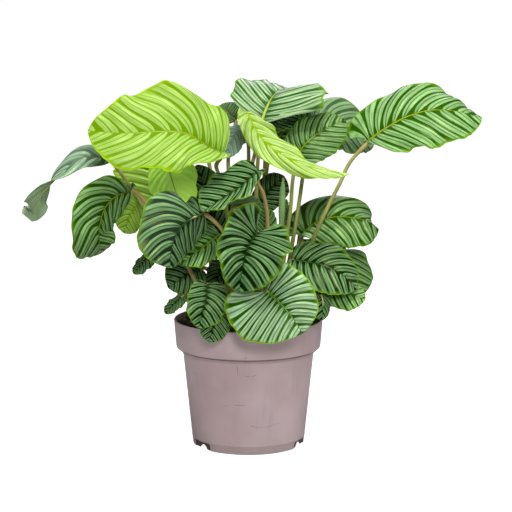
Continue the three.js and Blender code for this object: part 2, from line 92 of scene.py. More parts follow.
def addStudio():
    world = bpy.data.worlds.new("studio")
    bpy.context.scene.world = world
    world.use_nodes = True
    sky = world.node_tree.nodes["Background"]
    sky.inputs["Color"].default_value = (1, 1, 1, 1)
    strength = seenOnly(world.node_tree, studio["world"], studio["backdrop"])
    world.node_tree.links.new(strength, sky.inputs["Strength"])
    for lamp in studio["lamps"]:
        addLamp(lamp)
    bpy.ops.mesh.primitive_plane_add(size=studio["floorSize"])
    floor = bpy.context.object
    floor.name = "floor"
    white = bpy.data.materials.new("floorWhite")
    white.use_nodes = True
    shader = white.node_tree.nodes["Principled BSDF"]
    shader.inputs["Base Color"].default_value = (0.5, 0.5, 0.5, 1)
    shader.inputs["Roughness"].default_value = 0.8
    shader.inputs["Emission Color"].default_value = (1, 1, 1, 1)
    glow = seenOnly(white.node_tree, 0.0, studio["floorGlow"])
    white.node_tree.links.new(glow, shader.inputs["Emission Strength"])
    floor.data.materials.append(white)


addStudio()
bpy.context.scene.view_settings.view_transform = "Standard"
print("camera and studio ready")


# ---- tools that several pieces use
def pick(piece):
    bpy.ops.object.select_all(action="DESELECT")
    piece.select_set(True)
    bpy.context.view_layer.objects.active = piece


def applyModifier(piece, kind, **settings):
    pick(piece)
    modifier = piece.modifiers.new(kind.title(), kind)
    for key, value in settings.items():
        setattr(modifier, key, value)
    bpy.ops.object.modifier_apply(modifier=modifier.name)


def joinPieces(first, others):
    pick(first)
    for other in others:
        other.select_set(True)
    bpy.ops.object.join()
    return first


def smooth(piece, degrees=40):
    pick(piece)
    bpy.ops.object.shade_smooth_by_angle(angle=math.radians(degrees))


def editAll(piece, *steps):
    # runs edit-mode operators on all of the piece
    pick(piece)
    bpy.ops.object.mode_set(mode="EDIT")
    bpy.ops.mesh.select_all(action="SELECT")
    for step in steps:
        step()
    bpy.ops.object.mode_set(mode="OBJECT")


def mergeClose():
    bpy.ops.mesh.remove_doubles(threshold=0.02 * mm)


def faceOut():
    bpy.ops.mesh.normals_make_consistent(inside=False)


def dress(piece, slot, *nodes):
    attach(piece, "root")
    if nodes:
        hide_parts(*nodes)


def paintOver(piece, material, degrees):
    piece.data.materials.clear()
    piece.data.materials.append(material)
    smooth(piece, degrees)


def vertexArray(piece):
    flat = np.empty(len(piece.data.vertices) * 3)
    piece.data.vertices.foreach_get("co", flat)
    return flat.reshape(-1, 3)


def placeVertices(piece, points):
    piece.data.vertices.foreach_set("co", np.asarray(points, np.float32).ravel())
    piece.data.update()


def shapedGrid(name, columns, rows, place):
    # a grid whose vertices place(across -1..1, along 0..1) lays out in millimetres
    bpy.ops.mesh.primitive_grid_add(x_subdivisions=columns, y_subdivisions=rows, size=2)
    piece = bpy.context.object
    piece.name = piece.data.name = name
    piece.data.uv_layers[0].name = "surface"
    flat = vertexArray(piece)
    placeVertices(piece, place(flat[:, 0], (flat[:, 1] + 1) / 2) * mm)
    return piece


def addPair(piece, layer, first, second):
    # two numbers that are the same all over the piece, kept as a UV map that its materials read
    pair = piece.data.uv_layers.new(name=layer, do_init=False)
    pair.data.foreach_set("uv", np.tile(np.array([first, second], np.float32), len(piece.data.loops)))


def unit(vectors):
    return vectors / np.linalg.norm(vectors, axis=-1, keepdims=True)


def curvePoints(stops, t, power=0.0):
    # a smooth curve through the stops at t in 0..1; its knots lie evenly, or by distance to that power
    stops = np.asarray(stops, float)
    last = len(stops) - 1
    padded = np.vstack([2 * stops[0] - stops[1], stops, 2 * stops[-1] - stops[-2]])
    place = np.clip(np.atleast_1d(t), 0, 1) * last
    part = np.minimum(place.astype(int), last - 1)
    w = (place - part)[:, None]
    p0, p1, p2, p3 = (padded[part + n] for n in range(4))
    d0, d1, d2 = (np.linalg.norm(b - a, axis=1)[:, None] ** power for a, b in ((p0, p1), (p1, p2), (p2, p3)))
    leave = d1 * ((p1 - p0) / d0 - (p2 - p0) / (d0 + d1) + (p2 - p1) / d1)
    arrive = d1 * ((p2 - p1) / d1 - (p3 - p1) / (d1 + d2) + (p3 - p2) / d2)
    square = 3 * (p2 - p1) - 2 * leave - arrive
    cubic = 2 * (p1 - p2) + leave + arrive
    return p1 + leave * w + square * w**2 + cubic * w**3


def tubeGrid(name, path, radii, sides, rows):
    # a round tube along a path, closed to a point at both ends
    path = np.asarray(path, float)
    steps = np.linalg.norm(np.diff(path, axis=0), axis=1)
    reached = np.concatenate([[0], np.cumsum(steps)])
    share = reached / reached[-1]
    tangents = unit(np.gradient(path, axis=0))
    sideways = [np.array([1.0, 0, 0])]  # carried along the path without twisting
    for tangent in tangents:
        side = sideways[-1] - tangent * (sideways[-1] @ tangent)
        sideways.append(side / np.linalg.norm(side))
    sideways = np.array(sideways[1:])
    across = np.cross(tangents, sideways)

    def along(values, t):
        values = np.asarray(values, float)
        if values.ndim == 1:
            return np.interp(t, share, values)
        return np.stack([np.interp(t, share, column) for column in values.T], axis=1)

    def place(a, t):
        angle = -math.pi * a
        end = np.minimum(1, np.minimum(t, 1 - t) * reached[-1])  # the last millimetre rounds off
        radius = along(radii, t) * np.sqrt(np.clip(1 - (1 - end) ** 2, 0, 1))
        ring = np.cos(angle)[:, None] * along(sideways, t) + np.sin(angle)[:, None] * along(across, t)
        return along(path, t) + ring * radius[:, None]

    piece = shapedGrid(name, sides, rows, place)
    editAll(piece, mergeClose, faceOut)
    return piece


# ---- nodes that several materials use
bench = {}  # holds the node tree that these tools work on, under "tree"


def addNode(kind):
    return bench["tree"].nodes.new("ShaderNode" + kind)


def paint(code):
    # a colour given as six hexadecimal digits, as a linear RGBA value
    parts = [int(code[n : n + 2], 16) / 255 for n in (0, 2, 4)]
    return (*(c / 12.92 if c <= 0.04045 else ((c + 0.055) / 1.055) ** 2.4 for c in parts), 1)


def feed(socket, value):
    if isinstance(value, bpy.types.NodeSocket):
        bench["tree"].links.new(value, socket)
    elif value is not None:
        socket.default_value = value


def sums(operation, *values):
    node = addNode("Math")
    node.operation = operation
    for socket, value in zip(node.inputs, values):
        feed(socket, value)
    return node.outputs[0]


def times(first, second):
    return sums("MULTIPLY", first, second)


def timesPlus(first, second, third):
    return sums("MULTIPLY_ADD", first, second, third)


def ramp(value, low, high, start=0.0, end=1.0):
    # eases from start to end while the value goes from low to high
    node = addNode("MapRange")
    node.interpolation_type = "SMOOTHSTEP"
    for socket, number in zip(node.inputs, (value, low, high, start, end)):
        feed(socket, number)
    return node.outputs["Result"]


def rampMm(value, low, high, *ends):
    return ramp(value, low * mm, high * mm, *ends)


def blend(factor, first, second, kind="MIX"):
    node = addNode("Mix")
    node.data_type = "RGBA"
    node.blend_type = kind
    feed(node.inputs["Factor"], factor)
    feed(node.inputs[6], first)
    feed(node.inputs[7], second)
    return node.outputs[2]


def speckle(vector, scale, detail=3.0, roughness=0.5):
    node = addNode("TexNoise")
    feed(node.inputs["Vector"], vector)
    node.inputs["Scale"].default_value = scale
    node.inputs["Detail"].default_value = detail
    node.inputs["Roughness"].default_value = roughness
    return node.outputs["Fac"]


def split(vector):
    node = addNode("SeparateXYZ")
    feed(node.inputs[0], vector)
    return node.outputs


def vector3(x, y, z=0.0):
    node = addNode("CombineXYZ")
    for socket, value in zip(node.inputs, (x, y, z)):
        feed(socket, value)
    return node.outputs[0]


def axisDistance(vector):
    # the distance from the middle axis
    parts = split(vector)
    square = timesPlus(parts["X"], parts["X"], times(parts["Y"], parts["Y"]))
    return sums("SQRT", square)


def newGroup(name, inputs, outputs):
    group = bpy.data.node_groups.new(name, "ShaderNodeTree")
    for side, sockets in (("INPUT", inputs), ("OUTPUT", outputs)):
        for label, kind in sockets.items():
            group.interface.new_socket(name=label, in_out=side, socket_type="NodeSocket" + kind)
    bench["tree"] = group
    return group, group.nodes.new("NodeGroupInput").outputs, group.nodes.new("NodeGroupOutput").inputs


def placeGroup(shared, **values):
    node = addNode("Group")
    node.node_tree = shared
    for label, value in values.items():
        feed(node.inputs[label], value)
    return node.outputs


def newMaterial(name, **settings):
    material = bpy.data.materials.new(name)
    material.use_nodes = True
    bench["tree"] = material.node_tree
    shader = material.node_tree.nodes["Principled BSDF"]
    for label, value in settings.items():
        shader.inputs[label.replace("_", " ")].default_value = value
    return material, shader


def uvMap(name):
    node = addNode("UVMap")
    node.uv_map = name
    return node.outputs[0]


def objectPlace():
    return addNode("TexCoord").outputs["Object"]


def stretched(place, share):
    # the place with its height squeezed, so that a pattern on it runs lengthwise
    node = addNode("Mapping")
    node.inputs["Scale"].default_value = (1, 1, share)
    feed(node.inputs["Vector"], place)
    return node.outputs[0]


# scales a colour by the piece's shade number: partly its own tone, partly painted shade on leaves deep in the
# plant and painted light on a few
def shaded(color, shade):
    return blend(1.0, color, vector3(shade, shade, shade), "MULTIPLY")


def bump(height, distance, shader, strength=1.0):
    node = addNode("Bump")
    node.inputs["Strength"].default_value = strength
    node.inputs["Distance"].default_value = distance * mm
    feed(node.inputs["Height"], height)
    feed(shader.inputs["Normal"], node.outputs[0])
    return node.outputs[0]


# ---- leaf finishes
# colours: ground, band, thin line, margin, midrib and underside
colorNames = ("ground", "band", "line", "margin", "rib", "under")
finishes = {
    "lime": {"colors": "76A400 BCE070 74A008 B4DC10 9FB22E B4D24E", "slot": "leaf_lime",
             "glow": 0.30, "streak": 0.50, "width": 0.22, "thin": 0.16},
    "young": {"colors": "8CB80C D8F29C 8CB408 B8DC30 A4BE30 CCD884", "slot": "leaf_lime",
              "glow": 0.30, "streak": 0.80, "width": 0.20, "thin": 0.08},
    "bright": {"colors": "184800 B6DAAA 265C04 8CBE24 5E8A22 869C70", "slot": "leaf_bright",
               "glow": 0.14, "streak": 0.60, "width": 0.29, "thin": 0.16},
    # sheen has a darker ground and paler bands than mid: the pale is partly a painted sheen, for a leaf
    # facing up into the light
    "sheen": {"colors": "1C4E00 B4D8A0 285E00 7CB414 A4B020 8AA06C", "slot": "leaf_mid",
              "glow": 0.16, "streak": 0.60, "width": 0.34, "thin": 0.20},
    "mid": {"colors": "245200 A0CE84 306200 7CB414 98A81C 8AA06C", "slot": "leaf_mid",
            "glow": 0.18, "streak": 0.60, "width": 0.31, "thin": 0.17},
    "dark": {"colors": "061C00 7CA86C 0A2800 76A81E 244E10 687C60", "slot": "leaf_dark",
             "glow": 0.10, "streak": 0.70, "width": 0.34, "thin": 0.19},
}
leafLook = {
    "gloss": 0.22, "glossSpread": (-0.06, 0.12), "veinletBump": 0.10, "bandBump": 0.22, "bumpDepth": 0.6,
    # the grey of a painted sheen, laid in patches over leaves that catch a bright reflection
    "marginTint": 0.35, "paintedSheen": "A9BEB6", "through": (1.0, 1.0, 0.45, 1),
}
stripe = {
    "wobble": 0.07, "wobbleScale": 22.0, "ragged": 0.07, "raggedScale": (5.0, 9.0),
    "rightLater": 0.22,  # the right half's veins leave the midrib this share of a stripe later
    "taper": 3.2, "taperLeft": 0.2,  # the pale bands come to a point at the midrib, but less so at the tip
    "uneven": 0.30, "unevenScale": 7.3, "darkAtRib": 0.50, "darkAtMargin": 0.10, "darkAtTip": 0.1,
    "edgeSoft": (0.09, 0.06), "lineAtRib": 0.16, "lineCore": 0.2, "lineStrength": 0.8,
    "streakScale": (2.2, 6.0), "veinletScale": (6.0, 30.0), "patchScale": 14.0,
    "ribWidth": (0.038, 0.014), "ribCore": 0.6,
}


def makeStripeGroup():
    # stripes along the side veins: a thick dark band, a pale one, a thin dark line, a pale one, and so on
    group, given, result = newGroup(
        "leafStripes",
        {"Surface": "Vector", "Count": "Vector", "Place": "Vector", "Dark": "Float", "Line": "Float"},
        {name: "Float" for name in ("Band", "Thin", "Rib", "Margin", "Edge", "Streak", "Relief", "Patch")},
    )
    surface = split(given["Surface"])
    count = split(given["Count"])
    centred = timesPlus(surface["X"], 2.0, -1.0)
    k = sums("ABSOLUTE", centred)
    rightSide = sums("GREATER_THAN", centred, 0.0)
    wobbleNoise = speckle(given["Place"], stripe["wobbleScale"], 2.0)
    wobble = times(sums("SUBTRACT", wobbleNoise, 0.5), stripe["wobble"])
    turns = timesPlus(surface["Y"], count["X"], times(wobble, 2.0))
    turns = sums("ADD", turns, timesPlus(rightSide, stripe["rightLater"], count["Y"]))

    def alongVeins(scale, third, detail, roughness=0.5):
        # noise drawn out along the side veins
        across, along = (times(value, size) for value, size in zip((k, turns), scale))
        return speckle(vector3(across, along, third), 1.0, detail, roughness)

    saw = sums("FRACT", turns)
    wave = sums("ABSOLUTE", timesPlus(saw, 2.0, -1.0))  # 1 in the dark band, 0 on the line
    edgeNoise = alongVeins(stripe["raggedScale"], wobbleNoise, 4.0, 0.65)
    ragged = timesPlus(sums("SUBTRACT", edgeNoise, 0.5), stripe["ragged"], wave)
    toRib = sums("MAXIMUM", timesPlus(k, -stripe["taper"], 1.0), 0.0)
    nearTip = ramp(surface["Y"], 0.7, 0.95, 1.0, stripe["taperLeft"])
    nearRib = times(times(toRib, toRib), nearTip)
    index = sums("FLOOR", sums("ADD", turns, 0.5))
    spot = vector3(times(index, stripe["unevenScale"]), count["Y"], rightSide)
    uneven = sums("SUBTRACT", speckle(spot, 1.0, 0.0), 0.5)
    darkWidth = timesPlus(uneven, stripe["uneven"], given["Dark"])
    darkWidth = timesPlus(nearRib, stripe["darkAtRib"], darkWidth)
    darkWidth = timesPlus(ramp(k, 0.80, 1.0), stripe["darkAtMargin"], darkWidth)
    darkWidth = sums("ADD", darkWidth, ramp(surface["Y"], 0.88, 1.0, 0.0, stripe["darkAtTip"]))
    darkStart = sums("SUBTRACT", 1.0, darkWidth)
    paleEnd = sums("SUBTRACT", darkStart, stripe["edgeSoft"][0])
    darkFull = sums("ADD", darkStart, stripe["edgeSoft"][1])
    pale = ramp(ragged, paleEnd, darkFull, 1.0, 0.0)
    lineWidth = timesPlus(nearRib, stripe["lineAtRib"], given["Line"])
    lineCore = times(lineWidth, stripe["lineCore"])
    thin = ramp(wave, lineCore, lineWidth, stripe["lineStrength"], 0.0)
    inside = times(ramp(k, 0.0, 0.04), ramp(k, 0.95, 0.99, 1.0, 0.0))
    ribWidth = ramp(surface["Y"], 0.0, 1.0, *stripe["ribWidth"])
    masks = {
        "Band": times(times(pale, inside), sums("SUBTRACT", 1.0, thin)),
        "Thin": times(thin, inside),
        "Rib": ramp(k, times(ribWidth, stripe["ribCore"]), ribWidth, 1.0, 0.0),
        "Margin": ramp(k, 0.86, 0.98),
        "Edge": ramp(k, 0.972, 0.99, 0.0, 0.8),
        "Streak": alongVeins(stripe["streakScale"], count["Y"], 4.0, 0.6),
        "Relief": alongVeins(stripe["veinletScale"], 0.0, 2.0),
        "Patch": speckle(given["Place"], stripe["patchScale"], 3.0),
    }
    for name, mask in masks.items():
        feed(result[name], mask)
    return group


stripeGroup = makeStripeGroup()


def leafSurface(finish):
    # the stripes, the piece's painted sheen and its shade (partly its own tone, partly painted shade), and
    # the finish's colours
    stripes = placeGroup(
        stripeGroup, Surface=uvMap("surface"), Count=uvMap("count"),
        Place=objectPlace(), Dark=finish["width"], Line=finish["thin"],
    )
    colors = dict(zip(colorNames, map(paint, finish["colors"].split())))
    return stripes, split(uvMap("traits")), colors


def glowThrough(shader, color, share, normal):
    # leaf light: part of what falls on the other face shines through
    glow = addNode("BsdfTranslucent")
    feed(glow.inputs["Color"], color)
    feed(glow.inputs["Normal"], normal)
    mixer = addNode("MixShader")
    for socket, value in zip(mixer.inputs, (share, shader.outputs[0], glow.outputs[0])):
        feed(socket, value)
    feed(bench["tree"].nodes["Material Output"].inputs["Surface"], mixer.outputs[0])


def topMaterial(name, finish):
    material, shader = newMaterial(
        name + "Top", Roughness=leafLook["gloss"], Specular_IOR_Level=0.19, Specular_Tint=(0.8, 1.0, 0.35, 1))
    stripes, traits, colors = leafSurface(finish)
    ground = blend(stripes["Patch"], colors["ground"], colors["line"])
    ground = blend(times(stripes["Margin"], leafLook["marginTint"]), ground, colors["margin"])
    streak = times(ramp(stripes["Streak"], 0.35, 0.72), finish["streak"])
    band = times(stripes["Band"], sums("SUBTRACT", 1.0, streak))
    color = blend(band, ground, colors["band"])
    color = blend(stripes["Rib"], color, colors["rib"])
    color = blend(stripes["Edge"], color, colors["margin"])
    # painted sheen: a silvery grey laid in patches over the leaf, as strong as the first number of the traits
    # map
    paintedSheen = times(traits["X"], ramp(stripes["Patch"], 0.35, 0.65, 0.55, 1.0))
    color = shaded(blend(paintedSheen, color, paint(leafLook["paintedSheen"])), traits["Y"])
    feed(shader.inputs["Base Color"], color)
    gloss = (leafLook["gloss"] + spread for spread in leafLook["glossSpread"])
    feed(shader.inputs["Roughness"], ramp(stripes["Streak"], 0.2, 0.8, *gloss))
    veinlets = times(stripes["Relief"], leafLook["veinletBump"])
    height = timesPlus(stripes["Band"], leafLook["bandBump"], veinlets)
    normal = bump(height, leafLook["bumpDepth"], shader)
    through = blend(1.0, color, leafLook["through"], "MULTIPLY")
    glowThrough(shader, through, finish["glow"], normal)
    return material


def underMaterial(name, finish):
    material, shader = newMaterial(name + "Under", Roughness=0.55, Specular_IOR_Level=0.2)
    stripes, traits, colors = leafSurface(finish)
    color = blend(stripes["Patch"], colors["under"], colors["band"])
    color = blend(times(stripes["Band"], 0.22), color, colors["band"])
    color = blend(times(stripes["Thin"], 0.35), color, colors["margin"])
    color = shaded(blend(stripes["Rib"], color, colors["rib"]), traits["Y"])
    feed(shader.inputs["Base Color"], color)
    normal = bump(stripes["Relief"], 0.3, shader, 0.5)
    glowThrough(shader, color, finish["glow"], normal)
    return material


stalkLook = {
    "green": ("5F8A2C", "94AE4C"), "tan": ("A87C4C", "CFA876"), "low": ("4A5A1C", "76803A"),
    "joint": ("9C8448", "B9A566"), "rib": "A9B266", "stretch": 0.25, "mottle": 90.0,
}


def stalkMaterial():
    # a darker olive towards the soil as painted shade, tan or green along the stalk, and a smooth tan joint
    # below the blade
    material, shader = newMaterial("stalk", Roughness=0.42, Specular_IOR_Level=0.45)
    surface, count, traits = (split(uvMap(name)) for name in ("surface", "count", "traits"))
    along = surface["Y"]
    jointStart, bladeStart = count["X"], count["Y"]
    place = stretched(objectPlace(), stalkLook["stretch"])
    mottle = speckle(place, stalkLook["mottle"], 4.0, 0.6)
    green, tan, low, smoothJoint = (
        blend(mottle, *map(paint, stalkLook[name])) for name in ("green", "tan", "low", "joint"))
    body = blend(traits["X"], green, tan)
    # painted shade: the lower half of the stalk darkens towards the soil, where the leaves above shade it
    body = blend(ramp(along, 0.05, 0.50, 0.9, 0.0), body, low)
    above = ramp(along, jointStart, sums("ADD", jointStart, 0.02))
    below = ramp(along, bladeStart, sums("ADD", bladeStart, 0.02), 1.0, 0.0)
    body = blend(times(times(above, below), 0.8), body, smoothJoint)
    rib = ramp(along, bladeStart, sums("ADD", bladeStart, 0.04))
    body = shaded(blend(rib, body, paint(stalkLook["rib"])), traits["Y"])
    feed(shader.inputs["Base Color"], body)
    bump(mottle, 0.25, shader, 0.6)
    return material


topPaint = {name: topMaterial(name, finish) for name, finish in finishes.items()}
underPaint = {name: underMaterial(name, finish) for name, finish in finishes.items()}
stalkPaint = stalkMaterial()
print("leaf finishes ready")


# ---- leaves
soil = {"top": 196, "mound": 7, "reach": 120}
blade = {
    "outlineStart": 0.2, "outlineEnd": 3.138,  # angles on the outline's arc
    "tipStart": 2.7, "tipReach": 0.04, "outlineSpread": 0.65, "veinBow": 0.75, "veinSweep": 1.5,
    "ruffleCount": 3.5, "ruffleShift": 9, "lobeRound": 0.35, "widest": 0.48, "fullness": 0.72,
    "archHeight": 0.06, "waveCount": 3, "wavePhase": 1.3,
    "thickness": 0.7, "largeLength": 85, "largeGrid": (40, 132), "smallGrid": (28, 84),
    "pleat": 1.1, "scallop": 0.010, "ripple": 0.7, "rippleCount": 7, "smallFine": 0.6,
    "bands": 10, "smallBands": 8,
}
stalk = {
    "radius": 3.8, "middle": 3.3, "topRadius": 2.9, "jointRadius": 3.4, "joint": 22, "depth": 10,
    "sink": 3.6, "overlap": 12, "ribEnd": 0.965, "ribRadii": (2.4, 1.7, 0.3),
    "sides": 12, "rows": 96, "steps": 14, "ribSteps": 26,
}
